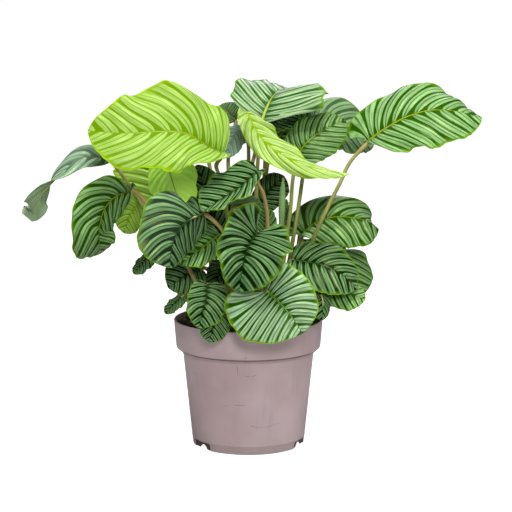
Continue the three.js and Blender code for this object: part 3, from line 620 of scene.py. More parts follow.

# root is where the stalk leaves the soil; via and rib are points in space from soil to tip; right and left
# reach from the midrib to the widest margin; lobe is how far the basal lobes run back; lift folds a half up
# at its base and tip; turn twists the blade; the shade number scales the whole leaf's colour, partly for its
# own tone and partly as painted shade on leaves deep in the plant and painted light on a few; the sheen
# number lays a painted silvery sheen over it; tan browns its stalk
plainLeaf = {
    "finish": "dark", "via": [], "lobe": (0.08, 0.08), "wave": 1, "turn": 0,
    "liftRight": (0, 0), "liftLeft": (0, 0), "ruffle": 0.045, "paintedSheen": 0, "shade": 1,
}
leaves = {
    "upper_left_lime": dict(finish="lime", root=(-8, 2), via=[(-44, 0, 428), (-51, -6, 453)],
        rib=[(-40, -10, 469), (-67, -22, 486), (-98, -34, 505), (-138, -42, 509), (-192, -48, 507),
        (-251, -40, 510)], right=(-28, 50, 65), left=(-18, -45, -65), lobe=(-0.02, 0), wave=6,
        liftRight=(36, 0), liftLeft=(65, 0), ruffle=0.07, bands=12, shade=0.98),
    "far_left_twisted": dict(finish="bright", root=(-58, 12), rib=[(-231, 55, 458), (-266, 45, 459),
        (-300, 32, 437), (-324, 22, 413), (-340, 14, 391), (-350, 32, 374), (-350, 58, 367)],
        right=(-2, 22, -9), left=(-3, -20, 4), lobe=(0.1, 0.08), turn=270, bands=6, paintedSheen=0.38, shade=0.9),
    "left_green": dict(finish="mid", root=(-62, -58), via=[(-79, -57, 262), (-95, -50, 296),
        (-124, -36, 343), (-156, -22, 384), (-170, -16, 403)], rib=[(-186, -20, 414), (-209, -28, 406),
        (-226, -38, 388), (-233, -48, 366), (-235, -52, 347), (-235, -40, 328), (-234, -16, 313)],
        right=(-46, -36, -2), left=(17, 40, -16), lobe=(0.08, 0), wave=3.5, liftLeft=(20, -20), ruffle=0.03,
        bands=10, shade=0.92, tan=0.9),
    "left_lime_behind": dict(finish="lime", root=(-40, 45), rib=[(-101, 85, 435), (-135, 75, 403),
        (-166, 60, 367)], right=(-112, 20, 26), left=(50, 40, -43), wave=5, shade=0.9),
    "left_lime_underside": dict(finish="lime", root=(-26, 28), rib=[(-133, 45, 462), (-123, 30, 425),
        (-107, 20, 374)], right=(45, -25, -5), left=(-40, 10, -3), lobe=(0, 0), shade=1.6),
    "small_lime": dict(finish="lime", root=(-52, 30), rib=[(-178, 52, 384), (-192, 32, 366),
        (-201, 22, 339)], right=(-30, -20, 2), left=(22, 20, -14), wave=3.5),
    "left_dark_round": dict(root=(-8, -62), via=[(-28, -92, 336), (-39, -98, 360), (-53, -98, 376)],
        rib=[(-67, -95, 386), (-88, -105, 380), (-106, -115, 364), (-117, -125, 339), (-120, -130, 307)],
        right=(-88, -20, -11), left=(30, 38, -23), lobe=(0.12, 0.05), wave=3.5, liftLeft=(10, -10), bands=10,
        paintedSheen=0.04),
    "centre_left_glossy": dict(finish="mid", root=(-30, -38), rib=[(-44, -56, 349), (-68, -70, 332),
        (-105, -80, 305)], right=(-29, 45, 21), left=(9, -35, -24), wave=3.5, ruffle=0.02),
    "centre_left_dark": dict(root=(26, -36), via=[(30, -52, 379), (23, -62, 415), (14, -70, 435)],
        rib=[(17, -75, 452), (-12, -88, 427), (-40, -98, 410), (-71, -105, 391)], right=(-34, 40, 18),
        left=(9, -38, -8), wave=3.5),
    "centre_dark": dict(root=(22, -58), rib=[(15, -100, 359), (5, -112, 346), (-3, -124, 330),
        (-8, -134, 308), (-14, -138, 271)], right=(-49, -35, 8), left=(67, -30, 8), lobe=(0.45, 0.3), wave=5,
        ruffle=0.03, bands=10),
    "rim_bright": dict(finish="bright", root=(40, -72), rib=[(28, -132, 273), (46, -142, 258),
        (64, -150, 239), (84, -158, 211)], right=(-55, -16, -56), left=(43, 14, 35), lobe=(0.64, 0.65),
        wave=0.6, ruffle=0.01, bands=10),
    "right_dark": dict(root=(58, -48), rib=[(68, -50, 308), (94, -60, 305), (120, -72, 301), (147, -78, 288),
        (169, -75, 265)], right=(-13, -36, -37), left=(9, 28, 31), wave=3.5, bands=9),
    "right_behind": dict(finish="mid", root=(76, 12), rib=[(113, 42, 309), (148, 22, 299), (186, 2, 243)],
        right=(-22, -30, -52), left=(49, 40, -11), wave=3.5),
    "right_low_lime": dict(finish="mid", root=(78, -14), rib=[(117, -52, 278), (148, -67, 262),
        (184, -72, 247)], right=(-8, -30, -27), left=(15, 20, 12), wave=2.5),
    "right_olive": dict(finish="mid", root=(62, 16), rib=[(85, 40, 332), (109, 28, 355), (140, 18, 366),
        (173, 11, 365), (197, 6, 358), (210, 12, 347)], right=(-10, -34, -47), left=(-20, 50, 32),
        lobe=(-0.05, 0.35), wave=5, liftRight=(30, 0), liftLeft=(0, -35), bands=9, shade=0.85),
    "upper_right": dict(finish="mid", root=(62, -12), via=[(101, -24, 330), (130, -14, 393), (146, -8, 424),
        (162, -3, 457)], rib=[(190, 0, 490), (216, -10, 510), (247, -20, 529), (284, -28, 541),
        (325, -30, 540), (368, -20, 529)], right=(16, -48, -56), left=(29, 50, 65), lobe=(-0.1, 0.22),
        wave=6, liftRight=(35, 0), liftLeft=(10, -58), ruffle=0.07, bands=11),
    "upper_right_behind": dict(finish="mid", root=(50, 6), via=[(75, 8, 350), (81, 16, 386), (86, 25, 419),
        (91, 40, 456)], rib=[(89, 60, 503), (146, 72, 505), (204, 80, 473)], right=(1, -40, -34),
        left=(-1, 50, 45), wave=5, bands=9, paintedSheen=0.2, shade=0.72),
    "upper_centre_folded": dict(finish="mid", root=(44, -12), via=[(63, -6, 348), (68, -2, 388),
        (71, 2, 428)], rib=[(76, 10, 459), (87, 8, 480), (103, 16, 495), (126, 32, 508), (156, 50, 520)],
        right=(26, -22, -30), left=(-25, 20, 22), lobe=(0, 0), wave=3.5, shade=0.72),
    "top_centre": dict(finish="sheen", root=(4, 26), rib=[(20, 10, 518), (28, 25, 538), (38, 45, 556),
        (51, 75, 566), (67, 110, 566)], right=(92, -10, 5), left=(-65, 10, 15), lobe=(-0.3, -0.1), wave=4,
        bands=9, paintedSheen=0.05, shade=0.95),
    "centre_lime_curled": dict(finish="young", root=(6, -14), via=[(1, -34, 432), (6, -38, 456),
        (12, -38, 486), (6, -32, 511)], rib=[(-2, -40, 540), (12, -50, 512), (31, -58, 490), (59, -66, 472),
        (102, -71, 455), (158, -74, 446)], right=(-4, -12, -24), left=(26, 22, 12), lobe=(0.1, -0.1), wave=6,
        liftRight=(-30, 10), liftLeft=(0, -55), bands=9),
    "behind_top_left": dict(root=(-14, 48), via=[(-32, 62, 424), (-33, 70, 456), (-30, 78, 485)],
        rib=[(-21, 95, 516), (-34, 105, 527), (-44, 115, 541)], right=(9, 20, 24), left=(-10, -10, -13),
        shade=0.7),
    "drooping_grey": dict(root=(-10, 34), rib=[(-4, 60, 503), (-22, 50, 494), (-36, 40, 459)],
        right=(-19, 20, 7), left=(12, -10, -18), paintedSheen=0.5),
    "dark_between": dict(root=(20, 58), rib=[(35, 80, 508), (58, 90, 520), (88, 100, 529)],
        right=(7, -20, -17), left=(-3, 30, 13)),
    "small_lower_left": dict(root=(-38, -80), via=[(-53, -82, 245), (-60, -84, 268)], rib=[(-64, -92, 276),
        (-65, -108, 255), (-70, -121, 237), (-76, -130, 213)], right=(-32, -20, -1), left=(34, -8, -10),
        wave=3.5),
    "rim_left_small": dict(root=(-20, -88), rib=[(-43, -116, 236), (-53, -126, 217), (-60, -130, 191)],
        right=(-22, 5, -2), left=(23, 0, -9)),
    "low_left_dark": dict(root=(-62, -36), rib=[(-77, -28, 290), (-100, -38, 279), (-127, -48, 262)],
        right=(-28, 0, 22), left=(7, -10, -28), wave=2),
    "low_left_droop": dict(root=(-78, -46), rib=[(-101, -70, 254), (-115, -80, 243), (-130, -85, 227)],
        right=(-11, 12, 0), left=(8, -8, -7)),
    "left_tip": dict(root=(-76, 6), via=[(-122, -10, 317)], rib=[(-156, -35, 312), (-168, -45, 300),
        (-181, -50, 284)], right=(-7, 10, 6), left=(12, -18, -6)),
    "right_low_dark": dict(root=(84, -52), rib=[(109, -96, 267), (116, -106, 253), (115, -111, 222)],
        right=(-20, 10, -11), left=(13, 10, -3)),
    "centre_back_dark": dict(root=(30, 30), rib=[(16, 44, 382), (35, 45, 407), (58, 50, 429)],
        right=(20, -10, -22), left=(-12, 20, 18), shade=0.65),
    "left_back_dark": dict(root=(-22, 14), rib=[(-40, 34, 330), (-56, 38, 363), (-70, 38, 407),
        (-83, 42, 448)], right=(31, 8, 8), left=(-38, 12, -2), shade=0.6),
    "centre_underside": dict(root=(-8, -30), rib=[(-24, -68, 394), (0, -76, 401), (20, -84, 402)],
        right=(1, -22, 15), left=(-1, 22, -15)),
    "centre_strip": dict(finish="mid", root=(26, -8), rib=[(25, -10, 339), (28, -15, 366), (23, -20, 389)],
        right=(17, -10, 6), left=(-19, 10, 3)),
    "right_strip": dict(finish="mid", root=(38, 10), rib=[(61, 18, 342), (61, 18, 368), (62, 20, 395)],
        right=(6, -15, 6), left=(-5, 15, 2)),
    "inner_right_dark": dict(root=(60, 34), rib=[(87, 101, 326), (85, 101, 343), (82, 104, 364)],
        right=(9, 15, 2), left=(-10, -10, 7), shade=0.6),
    "inner_low_brown": dict(root=(-12, -16), via=[(-39, -6, 277)], rib=[(-42, -15, 298), (-47, -25, 280),
        (-58, -33, 256)], right=(-18, 0, 9), left=(19, 0, -11), shade=0.5),
    "inner_low_left": dict(root=(-44, -22), via=[(-62, 6, 259), (-65, 10, 281)], rib=[(-77, 14, 283),
        (-93, 13, 256), (-108, 12, 230)], right=(-23, 3, -2), left=(19, -3, -12), lobe=(0, 0), shade=0.3),
    "back_left": dict(finish="mid", root=(-34, 66), rib=[(-72, 108, 465), (-122, 128, 488),
        (-190, 143, 487)], right=(-12, 44, 42), left=(-7, -22, -32), wave=5),
    "back_centre": dict(finish="mid", root=(18, 78), rib=[(35, 95, 467), (60, 125, 497), (86, 155, 525)],
        right=(59, 0, -7), left=(-37, 40, 28), wave=5),
    "back_low_left": dict(root=(-60, 56), rib=[(-72, 106, 341), (-115, 131, 325), (-163, 146, 292)],
        right=(-23, 37, 28), left=(-1, -20, -42), wave=5),
    "back_low_right": dict(root=(66, 54), rib=[(86, 112, 284), (128, 128, 285), (171, 140, 273)],
        right=(6, -15, -42), left=(-2, 30, 29), wave=5),
    "back_low_centre": dict(root=(0, 88), rib=[(-1, 110, 268), (11, 140, 242), (22, 150, 197)],
        right=(-42, 20, -22), left=(46, 20, -8), wave=5),
}


def soilHeight(radius):
    return soil["top"] + soil["mound"] * (1 - (radius / soil["reach"]) ** 2)


def flatPlace(u, k, lobe, ruffle):
    # a point of the flat blade: u picks a side vein from base to tip, k goes out along it
    arc = blade["outlineStart"] + (blade["outlineEnd"] - blade["outlineStart"]) * u ** blade["outlineSpread"]
    across = np.sin(arc) ** blade["fullness"]
    pastTip = np.maximum(0, (arc - blade["tipStart"]) / (blade["outlineEnd"] - blade["tipStart"]))
    back = lobe * ((1 - u) ** 3 - blade["lobeRound"] * (1 - u) ** 24)
    along = blade["widest"] * (1 - np.cos(arc)) + blade["tipReach"] * pastTip**2 - back
    swell = np.sin(2 * math.pi * blade["ruffleCount"] * u + blade["ruffleShift"] * lobe)
    across = across * (1 + ruffle * swell * np.sin(arc))
    start = u ** blade["veinSweep"]
    bow = blade["veinBow"] * u**0.3
    return across * k, start + (along - start) * (bow * k + (1 - bow) * k * k)


def ribTangent(leaf, t):
    step = 0.01
    ahead = curvePoints(leaf["rib"], np.minimum(t + step, 1))
    return unit(ahead - curvePoints(leaf["rib"], np.maximum(t - step, 0)))


def ribFrame(leaf, t, rightSide):
    # the midrib's point and tangent at t, and the direction out to one side and up from it
    tangent = ribTangent(leaf, t)
    point = curvePoints(leaf["rib"], t)
    reach = np.where(rightSide[:, None], leaf["right"], leaf["left"]).astype(float)
    middle = ribTangent(leaf, np.array([blade["widest"]]))
    halfWidth = np.linalg.norm(reach - (reach @ middle[0])[:, None] * middle, axis=1)
    side = unit(reach - (reach * tangent).sum(1)[:, None] * tangent)
    lifts = zip(leaf["liftRight"], leaf["liftLeft"])
    atBase, atTip = (np.where(rightSide, -right, left) for right, left in lifts)
    fold = atBase * (1 - t) ** 2 + atTip * t * t
    angle = np.radians(leaf["turn"] * (t - blade["widest"]) + fold)[:, None]
    side = side * np.cos(angle) + np.cross(tangent, side) * np.sin(angle)
    up = np.cross(side, tangent) * np.where(rightSide, 1, -1)[:, None]
    return point, tangent, side, up, halfWidth


def bladePlace(leaf, v, u):
    rightSide = v >= 0
    k = np.abs(v)
    lobe = np.where(rightSide, leaf["lobe"][0], leaf["lobe"][1])
    across, along = flatPlace(u, k, lobe, leaf["ruffle"])
    t = np.clip(along, 0, 1)
    point, tangent, side, up, halfWidth = ribFrame(leaf, t, rightSide)
    point = point + tangent * (leaf["length"] * np.minimum(along, 0))[:, None]
    full = 2 * math.pi
    phase = np.where(rightSide, blade["wavePhase"], 0)
    wave = leaf["wave"] * across**2 * np.sin(full * blade["waveCount"] * u + phase)
    arch = 4 * blade["archHeight"] * halfWidth * across * (1 - across)
    veins = full * (leaf["bands"] * u + leaf["phase"] + np.where(rightSide, stripe["rightLater"], 0))
    envelope = np.clip(k / 0.25, 0, 1) * (1 - 0.5 * k) * np.minimum(1, across * 3)
    pleat = -blade["pleat"] * leaf["fine"] * np.cos(veins) * envelope
    phase = leaf["phase"] * 9 + np.where(rightSide, 2.0, 0)
    ripple = blade["ripple"] * leaf["fine"] * k**4 * np.sin(full * blade["rippleCount"] * u + phase)
    ripple *= np.minimum(1, across * 2)
    out = halfWidth * across * (1 + blade["scallop"] * k**6 * np.cos(veins))
    return point + side * out[:, None] + up * (arch + wave + pleat + ripple)[:, None]


def ribPath(leaf, t, radius):
    # points under the midrib, sunk so that the rib stands out of the underside
    point, _, _, upRight, _ = ribFrame(leaf, t, np.ones(len(t), bool))
    _, _, _, upLeft, _ = ribFrame(leaf, t, np.zeros(len(t), bool))
    return point - unit(upRight + upLeft) * (0.75 * radius + 0.1)[:, None]


def stalkPath(leaf):
    x, y = leaf["root"]
    ground = soilHeight(math.hypot(x, y))
    overlap = stalk["overlap"] / leaf["length"]
    base, joint = ribPath(leaf, np.array([0, overlap]), np.full(2, stalk["sink"]))
    stops = [(x, y, ground + 3), *leaf["via"], base, joint]
    free = curvePoints(stops, np.linspace(0, 1, stalk["steps"] * (len(stops) - 1) + 1), 0.5)
    ribT = np.linspace(overlap, stalk["ribEnd"], stalk["ribSteps"])[1:]
    ribRadius = np.linspace(*stalk["ribRadii"][1:], stalk["ribSteps"])[1:]
    path = np.vstack([[(x, y, ground - stalk["depth"])], free, ribPath(leaf, ribT, ribRadius)])
    reached = np.concatenate([[0], np.cumsum(np.linalg.norm(np.diff(path, axis=0), axis=1))])
    start = reached[len(path) - len(ribT) - stalk["steps"] - 1]  # where the blade starts
    end = reached[-1]
    joint = start - stalk["joint"]
    stops = (0, start * 0.5, joint - 4, joint + 2, start - 3, start + 6, start + 14, end)
    widths = [stalk[name] for name in ("radius", "middle", "topRadius", "jointRadius", "jointRadius")]
    return path, np.interp(reached, stops, (*widths, *stalk["ribRadii"])), joint / end, start / end


def addStalk(piece, name, path, radii, rows, joint, traits):
    # joins a stalk to its blade; joint is where the smooth part below the blade starts and ends
    stem = tubeGrid(name, path, radii, stalk["sides"], rows)
    stem.data.materials.append(stalkPaint)
    addPair(stem, "count", *joint)
    addPair(stem, "traits", *traits)
    joinPieces(piece, [stem])
    smooth(piece, 50)


def makeLeaf(name, leaf):
    line = curvePoints(leaf["rib"], np.linspace(0, 1, 201))
    leaf["length"] = np.linalg.norm(np.diff(line, axis=0), axis=1).sum()
    large = leaf["length"] > blade["largeLength"]
    leaf["bands"] = leaf.get("bands", blade["bands"] if large else blade["smallBands"])
    leaf["phase"] = random.random()
    leaf["fine"] = 1.0 if large else blade["smallFine"]
    finish = leaf["finish"]
    grid = blade["largeGrid"] if large else blade["smallGrid"]
    piece = shapedGrid("blade_" + name, *grid, lambda v, u: bladePlace(leaf, v, u))
    for material in (topPaint[finish], underPaint[finish], stalkPaint):
        piece.data.materials.append(material)
    applyModifier(piece, "SOLIDIFY", thickness=blade["thickness"] * mm, offset=0, material_offset=1)
    addPair(piece, "count", leaf["bands"], leaf["phase"])
    addPair(piece, "traits", leaf["paintedSheen"], leaf["shade"])
    path, radii, *joint = stalkPath(leaf)
    tan = leaf.get("tan", 0.25 + 0.5 * random.random())
    addStalk(piece, piece.name + "_stalk", path, radii, stalk["rows"], joint, (tan, 1.0))
    dress(piece, finishes[finish]["slot"], "leaf_" + name)


for name, leaf in leaves.items():
    makeLeaf(name, {**plainLeaf, **leaf})
print("leaves ready:", len(leaves))


# ---- the newest leaf, still rolled up
spear = {
    "root": (34, -4), "via": [(46, -2, 300)], "neck": (52, 6, 345), "tip": (56, 12, 430),
    "stalkRadii": (3.0, 2.6, 3.0), "radii": (3.2, 4.6, 5.6, 5.2, 3.9, 0.9), "turns": 2.3, "thickness": 0.7,
    "core": 0.62, "startAngle": 1.5, "twist": 0.9, "grid": (72, 60), "bands": 9,
}


def makeSpear():
    x, y = spear["root"]
    ground = soilHeight(math.hypot(x, y))
    stops = [(x, y, ground + 3), *spear["via"], spear["neck"], spear["tip"]]
    neck = (len(stops) - 2) / (len(stops) - 1)

    def place(a, t):
        # a rolled sheet: the radius grows with every turn
        path = curvePoints(stops, neck + (1 - neck) * t, 0.5)
        outer = np.interp(t, np.linspace(0, 1, len(spear["radii"])), spear["radii"])
        angle = math.pi * spear["turns"] * a + spear["startAngle"] + spear["twist"] * t
        radius = outer * (spear["core"] + (1 - spear["core"]) * (a + 1) / 2)
        ring = np.stack([np.cos(angle), np.sin(angle), 0 * angle], axis=1)
        return path + ring * radius[:, None]

    piece = shapedGrid("newLeaf", *spear["grid"], place)
    piece.data.materials.append(underPaint["mid"])
    applyModifier(piece, "SOLIDIFY", thickness=spear["thickness"] * mm, offset=0)
    addPair(piece, "count", spear["bands"], 0.3)
    addPair(piece, "traits", 0.0, 1.0)
    free = curvePoints(stops, np.linspace(0, neck + 0.04, 40), 0.5)
    path = np.vstack([[(x, y, ground - stalk["depth"])], free])
    radii = np.interp(np.linspace(0, 1, len(path)), (0, 0.8, 1), spear["stalkRadii"])
    addStalk(piece, "newLeafStalk", path, radii, 60, (2.0, 3.0), (0.15, 1.0))  # no joint below a rolled leaf
    dress(piece, "new_leaf", "new_leaf_spear")


makeSpear()
print("rolled leaf ready")


# ---- pot
pot = {
    "sides": 168, "height": 204, "rim": 120, "collarHeight": 45, "collar": 116.6, "stepDrop": 8,
    "body": 105.8, "foot": 90, "wall": 2.5, "lift": 10.5, "ring": 4.5, "round": 1.6, "bossRadius": 40,
    "notches": (-147, -21, 96), "notchArc": 30, "notchHeight": 12, "notchReach": 40, "notchRound": 3,
    "drain": 6, "drainCircle": 62, "drainCount": 6, "drainSides": 32, "seamHeight": 14, "seamDepth": 0.35,
    # the darkest colour paints the shadow under the collar and the shade inside the foot
    "colors": {"base": "BAA0A2", "light": "CCB6B8", "dark": "A08A8E", "crease": "3A2C2A", "dust": "CFC4BF",
               "scuffs": "6E5850", "dots": "D8CCC8"},
    "cloudScale": 9.0, "streakScale": 60.0, "streakStretch": 0.15, "grainScale": 900.0, "streakShare": 0.25,
    "dustShare": 0.35, "dustHeight": 50, "scuffsShare": 0.5, "dotsShare": 0.8, "collarShadowShare": 0.75,
    # how strongly the painted shadow under the collar and the painted shade inside the foot are laid on
    "footShadeShare": 0.85, "gloss": (0.36, 0.52), "bumpDepth": 0.12,
    # scuffs on the front: two ends as (x, z), and the width
    "scuffs": [((-17.4, 148.7), (-15.9, 132.7), 0.8), ((-84.8, 126.3), (-84.0, 124.8), 1.1),
               ((-5, 163), (-3.5, 163), 1.2), ((4.4, 49), (14, 46.5), 0.9), ((14, 46.5), (34, 46.5), 0.5),
               ((34, 46.5), (48.5, 50.5), 0.5), ((-4.9, 131.1), (2, 130.5), 0.7),
               ((5, 130.5), (12.3, 132.5), 0.7), ((-22.2, 82.9), (-6.5, 82.9), 0.7),
               ((-40, 80), (-33, 80.5), 0.5)],
    "dots": [((-20.8, 13.3), (-20.2, 13.3), 0.9), ((10.7, 13.3), (11.3, 13.3), 0.9)],
}
collarFoot = pot["height"] - pot["collarHeight"]
step = collarFoot - pot["stepDrop"]  # the top of the tapered body
floorTop = pot["lift"] + pot["wall"]


def extrudeTo(radius, z, last):
    # carries the selected ring on to the next radius and height of the profile
    bpy.ops.mesh.extrude_region_move(TRANSFORM_OT_translate={"value": (0, 0, (z - last[1]) * mm)})
    bpy.ops.transform.resize(value=(radius / last[0], radius / last[0], 1))


def turned(name, profile, sides):
    # a circle extruded ring by ring along a profile of (radius, height), closed flat at both ends
    radius, z = profile[0]
    bpy.ops.mesh.primitive_circle_add(vertices=sides, radius=radius * mm, location=(0, 0, 0))
    piece = bpy.context.object
    piece.name = piece.data.name = name
    pick(piece)
    bpy.ops.object.mode_set(mode="EDIT")
    bpy.ops.mesh.select_all(action="SELECT")
    bpy.ops.transform.translate(value=(0, 0, z * mm))
    last = (radius, z)
    for ring in profile[1:]:
        extrudeTo(*ring, last)
        last = ring
    bpy.ops.mesh.edge_face_add()
    bpy.ops.mesh.select_all(action="DESELECT")
    bpy.ops.mesh.select_mode(type="EDGE")
    bpy.ops.mesh.select_non_manifold()
    bpy.ops.mesh.edge_face_add()
    bpy.ops.mesh.select_all(action="SELECT")
    bpy.ops.mesh.normals_make_consistent(inside=False)
    bpy.ops.mesh.select_mode(type="VERT")
    bpy.ops.object.mode_set(mode="OBJECT")
    return piece


def cutAway(piece, cutter):
    applyModifier(piece, "BOOLEAN", operation="DIFFERENCE", solver="MANIFOLD", object=cutter)
    bpy.data.objects.remove(cutter)


def markBetween(place, start, end, width):
    # 1 on a short straight mark between two points of the pot's front, given as (x, z)
    parts = split(place)
    (x0, z0), (x1, z1) = ((p * mm for p in point) for point in (start, end))
    dx, dz = x1 - x0, z1 - z0
    length = dx * dx + dz * dz
    px = sums("SUBTRACT", parts["X"], x0)
    pz = sums("SUBTRACT", parts["Z"], z0)
    clamp = addNode("Clamp")
    feed(clamp.inputs[0], timesPlus(px, dx / length, times(pz, dz / length)))
    offX = timesPlus(clamp.outputs[0], -dx, px)
    offZ = timesPlus(clamp.outputs[0], -dz, pz)
    away = sums("SQRT", timesPlus(offX, offX, times(offZ, offZ)))
    line = rampMm(away, 0.3 * width, width, 1.0, 0.0)
    return times(line, sums("LESS_THAN", parts["Y"], 0.0))


def potMaterial():
    colors = {name: paint(code) for name, code in pot["colors"].items()}
    material, shader = newMaterial("potPlastic", Roughness=0.42, Specular_IOR_Level=0.45)
    place = objectPlace()
    z = split(place)["Z"]
    fromAxis = axisDistance(place)
    cloud = speckle(place, pot["cloudScale"], 3.0)
    streaks = speckle(stretched(place, pot["streakStretch"]), pot["streakScale"], 4.0, 0.6)
    fine = speckle(place, pot["grainScale"], 2.0)
    color = blend(ramp(cloud, 0.3, 0.7), colors["base"], colors["light"])
    color = blend(ramp(streaks, 0.55, 0.8, 0.0, pot["streakShare"]), color, colors["dark"])
    dust = times(rampMm(z, 0, pot["dustHeight"], pot["dustShare"], 0.0), ramp(fine, 0.4, 0.7))
    color = blend(dust, color, colors["dust"])
    for marks in ("scuffs", "dots"):
        for mark in pot[marks]:
            share = times(markBetween(place, *mark), pot[marks + "Share"])
            color = blend(share, color, colors[marks])
    # painted shadow: a dark band on the body just under the collar's edge, and painted shade on the surfaces
    # inside the foot
    crease = times(rampMm(z, collarFoot - 4, collarFoot - 2),
                   rampMm(z, collarFoot - 0.6, collarFoot + 0.4, 1.0, 0.0))
    outside = rampMm(fromAxis, pot["body"] - 1, pot["body"])
    color = blend(times(times(crease, outside), pot["collarShadowShare"]), color, colors["crease"])
    # painted shade: the inside of the foot and the underside of the pot's floor are darkened
    footShade = times(rampMm(z, pot["lift"] + 1.2, pot["lift"] + 2.2, 1.0, 0.0),
                   rampMm(fromAxis, pot["foot"] - 1.0, pot["foot"] - 0.4, 1.0, 0.0))
    color = blend(times(footShade, pot["footShadeShare"]), color, colors["crease"])
    feed(shader.inputs["Base Color"], color)
    feed(shader.inputs["Roughness"], ramp(streaks, 0.3, 0.8, *pot["gloss"]))
    bump(timesPlus(fine, 0.5, times(cloud, 0.5)), pot["bumpDepth"], shader, 0.7)
    return material


def potProfile():
    # from the middle of the floor up the inner wall, over the rim, down the outside and under the floor
    rim, collar, body, foot, wall, lip = (
        pot[name] for name in ("rim", "collar", "body", "foot", "wall", "round"))
    top, seamZ, ringInside = pot["height"], pot["seamHeight"], foot - pot["ring"]
    seam = foot + (body - foot) * seamZ / step
    quarter = np.radians((90, 60, 30, 0))
    footEdge = [(foot - lip * (1 - math.sin(a)), lip * (1 - math.cos(a))) for a in quarter]
    return [
        (pot["bossRadius"], floorTop), (foot - wall - 2, floorTop), (foot - wall + 0.2, floorTop + 2),
        (body - wall, step), (collar - wall, collarFoot + wall), (rim - wall, top - lip),
        (rim - wall + 0.2, top - 0.5), (rim - wall + 0.6, top), (rim - 0.6, top), (rim - 0.2, top - 0.5),
        (rim, top - lip), (collar, collarFoot + 1.5), (collar - 0.6, collarFoot + 0.2),
        (collar - 2, collarFoot - 0.8), (body + 2.2, step + 1.2), (body + 0.6, step + 0.3), (body, step),
        (body - 1.6, step * 0.9), (seam + 0.1, seamZ + 0.7), (seam + pot["seamDepth"], seamZ),
        (seam - 0.1, seamZ - 0.7), *footEdge, (ringInside, 0), (ringInside - 1, pot["lift"]),
        (pot["bossRadius"], pot["lift"]),
    ]


def around(radius, angle, z=0.0):
    return radius * mm * math.cos(angle), radius * mm * math.sin(angle), z


def makePot():
    piece = turned("potShell", potProfile(), pot["sides"])
    width = 2 * pot["foot"] * math.sin(math.radians(pot["notchArc"] / 2))
    reach = pot["foot"] - pot["ring"] - 0.6 + pot["notchReach"] / 2
    for angle in np.radians(pot["notches"]):
        bpy.ops.mesh.primitive_cube_add(size=1, location=around(reach, angle), rotation=(0, 0, angle))
        cutter = bpy.context.object
        cutter.scale = (pot["notchReach"] * mm, width * mm, 2 * pot["notchHeight"] * mm)
        pick(cutter)
        bpy.ops.object.transform_apply(location=True, rotation=True, scale=True)
        applyModifier(cutter, "BEVEL", width=pot["notchRound"] * mm, segments=4)
        cutAway(piece, cutter)
    for n in range(pot["drainCount"]):
        hole = around(pot["drainCircle"], (n + 0.5) * 2 * math.pi / pot["drainCount"], 0.009)
        bpy.ops.mesh.primitive_cylinder_add(
            vertices=pot["drainSides"], radius=pot["drain"] * mm, depth=0.02, location=hole)
        cutAway(piece, bpy.context.object)
    paintOver(piece, potMaterial(), 32)
    dress(piece, "pot_plastic", "pot")


makePot()
print("pot ready")


# ---- soil with bark bits
soilLook = {
    "sides": 96, "rings": 30, "edge": 116.9, "sunk": 1.2, "lump": 1.6, "clod": 9, "crumb": 3.5,
    "clodScale": 160.0, "gritScale": 620.0, "bumpDepth": 2.2, "barkScale": 70.0, "barkGrainScale": 700.0,
    "chips": 240, "chipSize": (3.5, 9.0), "chipShape": (1.0, 0.6, 0.34), "chipTip": 0.5, "chipRoll": 0.4,
    "colors": {"dark": "1C120C", "mid": "3A2719", "light": "5A4028", "bark": "8C6238", "barkPale": "C49A66"},
}


def soilSurface(x, y):
    # the height of the lumpy soil at a place, in millimetres
    clod, crumb = soilLook["clod"], soilLook["crumb"]
    rough = noise.noise(Vector((x / clod, y / clod, 0)))
    rough += 0.5 * noise.noise(Vector((x / crumb, y / crumb, 4)))
    return soilHeight(math.hypot(x, y)) - soilLook["sunk"] + soilLook["lump"] * rough


def groundMaterial(name, roughness, specular):
    # a material with its place and the soil's colours
    colors = {name: paint(code) for name, code in soilLook["colors"].items()}
    material, shader = newMaterial(name, Roughness=roughness, Specular_IOR_Level=specular)
    return material, shader, objectPlace(), colors


def soilMaterial():
    material, shader, place, colors = groundMaterial("pottingSoil", 0.9, 0.2)
    clod = speckle(place, soilLook["clodScale"], 5.0, 0.65)
    grit = speckle(place, soilLook["gritScale"], 3.0, 0.6)
    color = blend(ramp(clod, 0.35, 0.65), colors["dark"], colors["mid"])
    color = blend(ramp(grit, 0.62, 0.72, 0.0, 0.8), color, colors["light"])
    feed(shader.inputs["Base Color"], color)
    bump(timesPlus(clod, 0.7, times(grit, 0.3)), soilLook["bumpDepth"], shader)
    return material


def barkMaterial():
    material, shader, place, colors = groundMaterial("barkBits", 0.8, 0.25)
    tone = speckle(place, soilLook["barkScale"], 1.0)
    grain = speckle(place, soilLook["barkGrainScale"], 3.0)
    color = blend(ramp(tone, 0.35, 0.7), colors["mid"], colors["bark"])
    color = blend(ramp(tone, 0.6, 0.72), color, colors["barkPale"])
    color = blend(times(grain, 0.4), color, colors["dark"])
    feed(shader.inputs["Base Color"], color)
    bump(grain, 0.5, shader)
    return material


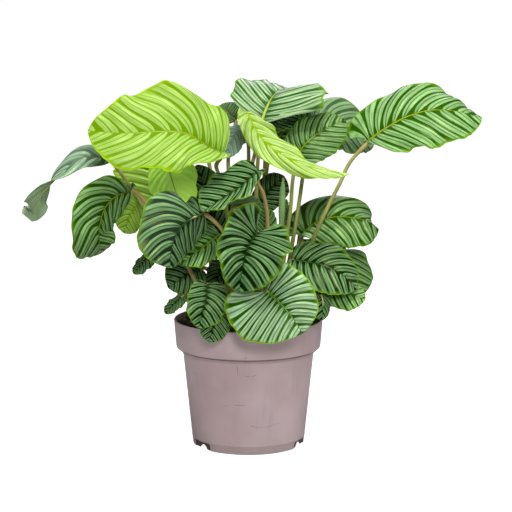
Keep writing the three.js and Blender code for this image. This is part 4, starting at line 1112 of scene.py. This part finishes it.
def makeSoil():
    bottom = floorTop + 0.3
    gap = pot["wall"] + 0.6
    edge = soilLook["edge"]
    rings = [edge * (1 - (n + 1) / soilLook["rings"]) for n in range(soilLook["rings"] - 1)]
    profile = [
        (pot["bossRadius"], bottom), (pot["foot"] - gap, bottom), (pot["body"] - gap - 0.1, step),
        (pot["collar"] - gap - 0.3, collarFoot + pot["wall"] + 1), (edge - 0.3, soil["top"] - 4),
        (edge, soil["top"] - 1), *((radius, soilHeight(radius)) for radius in rings),
    ]
    piece = turned("pottingSoil", profile, soilLook["sides"])
    points = vertexArray(piece) / mm
    for point in points:
        if point[2] > soil["top"] - 2 and math.hypot(point[0], point[1]) < edge - 0.1:
            point[2] = soilSurface(point[0], point[1])
    placeVertices(piece, points * mm)
    paintOver(piece, soilMaterial(), 60)
    dress(piece, "soil", "soil")


def makeChips():
    # one rough flake, then its copies turned, sized and laid over the soil
    bpy.ops.mesh.primitive_cube_add(size=1)
    flake = bpy.context.object
    editAll(flake, lambda: bpy.ops.mesh.subdivide(number_cuts=1, smoothness=0.7, fractal=0.9, seed=3))
    shape = vertexArray(flake) * soilLook["chipShape"]
    copies = []
    for n in range(soilLook["chips"]):
        radius = (soilLook["edge"] - 5) * math.sqrt(random.random())
        angle = random.uniform(0, 2 * math.pi)
        x, y = radius * math.cos(angle), radius * math.sin(angle)
        size = random.uniform(*soilLook["chipSize"])
        copy = flake.copy()
        copy.data = flake.data.copy()
        bpy.context.collection.objects.link(copy)
        spin = random.uniform(0, 2 * math.pi)
        tip, roll = (random.uniform(-most, most) for most in (soilLook["chipTip"], soilLook["chipRoll"]))
        turn = np.array(Euler((tip, roll, spin), "YXZ").to_matrix())
        points = (shape * (size, size * random.uniform(0.6, 1.2), size)) @ turn.T
        placeVertices(copy, (points + (x, y, soilSurface(x, y) + 0.1 * size)) * mm)
        copies.append(copy)
    bpy.data.objects.remove(flake)
    piece = joinPieces(copies[0], copies[1:])
    piece.name = piece.data.name = "barkBits"
    paintOver(piece, barkMaterial(), 35)
    dress(piece, "soil")


makeSoil()
makeChips()
print("soil and bark ready")
